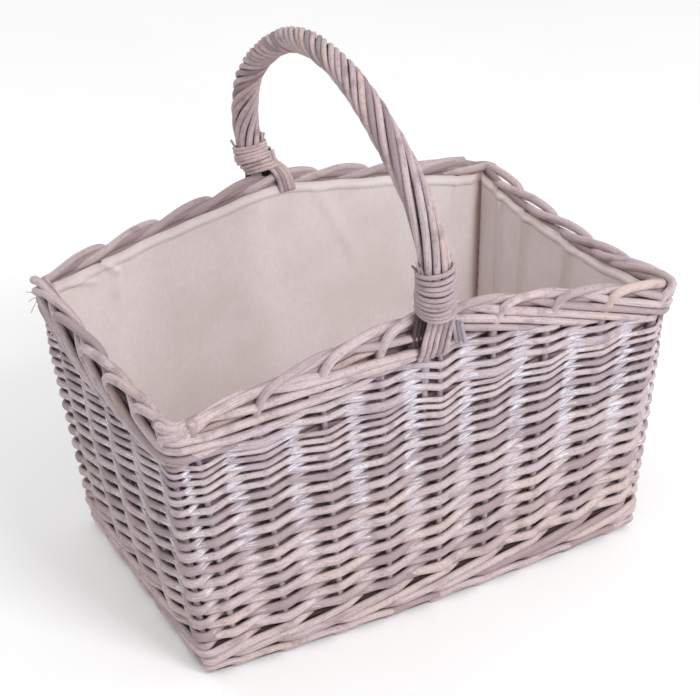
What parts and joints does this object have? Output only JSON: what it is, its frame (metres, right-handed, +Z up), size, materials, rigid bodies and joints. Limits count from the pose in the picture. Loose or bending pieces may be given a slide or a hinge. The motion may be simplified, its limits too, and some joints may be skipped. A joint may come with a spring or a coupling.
{
  "type": "lined wicker basket",
  "caption": "Rectangular willow basket with tapered woven sides, an arched rod border, a fixed bow handle and a sewn-in linen lining.",
  "frame": {"origin": "on the floor under the middle of the foot, below the middle of the bounding box", "axes": "+X along a long side, +Y across to the back long side, +Z up; the handle crosses along Y"},
  "size_m": [0.441, 0.3474, 0.443],
  "materials": {
    "willow_weave": "washed grey-mauve willow, matt, with pale rubbed crossings and darker tan rods",
    "willow_border": "washed pale willow rods, matt, fine grain along the rod",
    "willow_handle": "washed willow rods, matt, slightly smoother from the hand",
    "willow_stakes": "darker washed willow, matt",
    "linen": "plain-weave linen, pale warm grey, matt with slubs"
  },
  "bodies": {
    "root": {"stake_front_1": "willow_stakes", "stake_front_2": "willow_stakes", "stake_front_3": "willow_stakes", "stake_front_4": "willow_stakes", "stake_front_5": "willow_stakes", "stake_front_6": "willow_stakes", "stake_front_7": "willow_stakes", "stake_front_8": "willow_stakes", "stake_front_9": "willow_stakes", "stake_back_1": "willow_stakes", "stake_back_2": "willow_stakes", "stake_back_3": "willow_stakes", "stake_back_4": "willow_stakes", "stake_back_5": "willow_stakes", "stake_back_6": "willow_stakes", "stake_back_7": "willow_stakes", "stake_back_8": "willow_stakes", "stake_back_9": "willow_stakes", "stake_left_1": "willow_stakes", "stake_left_2": "willow_stakes", "stake_left_3": "willow_stakes", "stake_left_4": "willow_stakes", "stake_right_1": "willow_stakes", "stake_right_2": "willow_stakes", "stake_right_3": "willow_stakes", "stake_right_4": "willow_stakes", "corner_post_front_left": "willow_stakes", "corner_post_front_right": "willow_stakes", "corner_post_back_left": "willow_stakes", "corner_post_back_right": "willow_stakes", "base_stick_1": "willow_stakes", "base_stick_2": "willow_stakes", "base_stick_3": "willow_stakes", "base_stick_4": "willow_stakes", "base_stick_5": "willow_stakes", "base_weave": "willow_weave", "foot_border": "willow_weave", "foot_wale": "willow_weave", "side_weave": "willow_weave", "packing_front": "willow_weave", "packing_back": "willow_weave", "top_border": "willow_border", "handle_bow": "willow_stakes", "handle_rod_1": "willow_handle", "handle_rod_2": "willow_handle", "handle_rod_3": "willow_handle", "handle_rod_4": "willow_handle", "handle_rod_5": "willow_handle", "handle_rod_6": "willow_handle", "handle_rod_7": "willow_handle", "handle_binding_front": "willow_handle", "handle_binding_back": "willow_handle", "lining": "linen"}
  },
  "joints": []
}
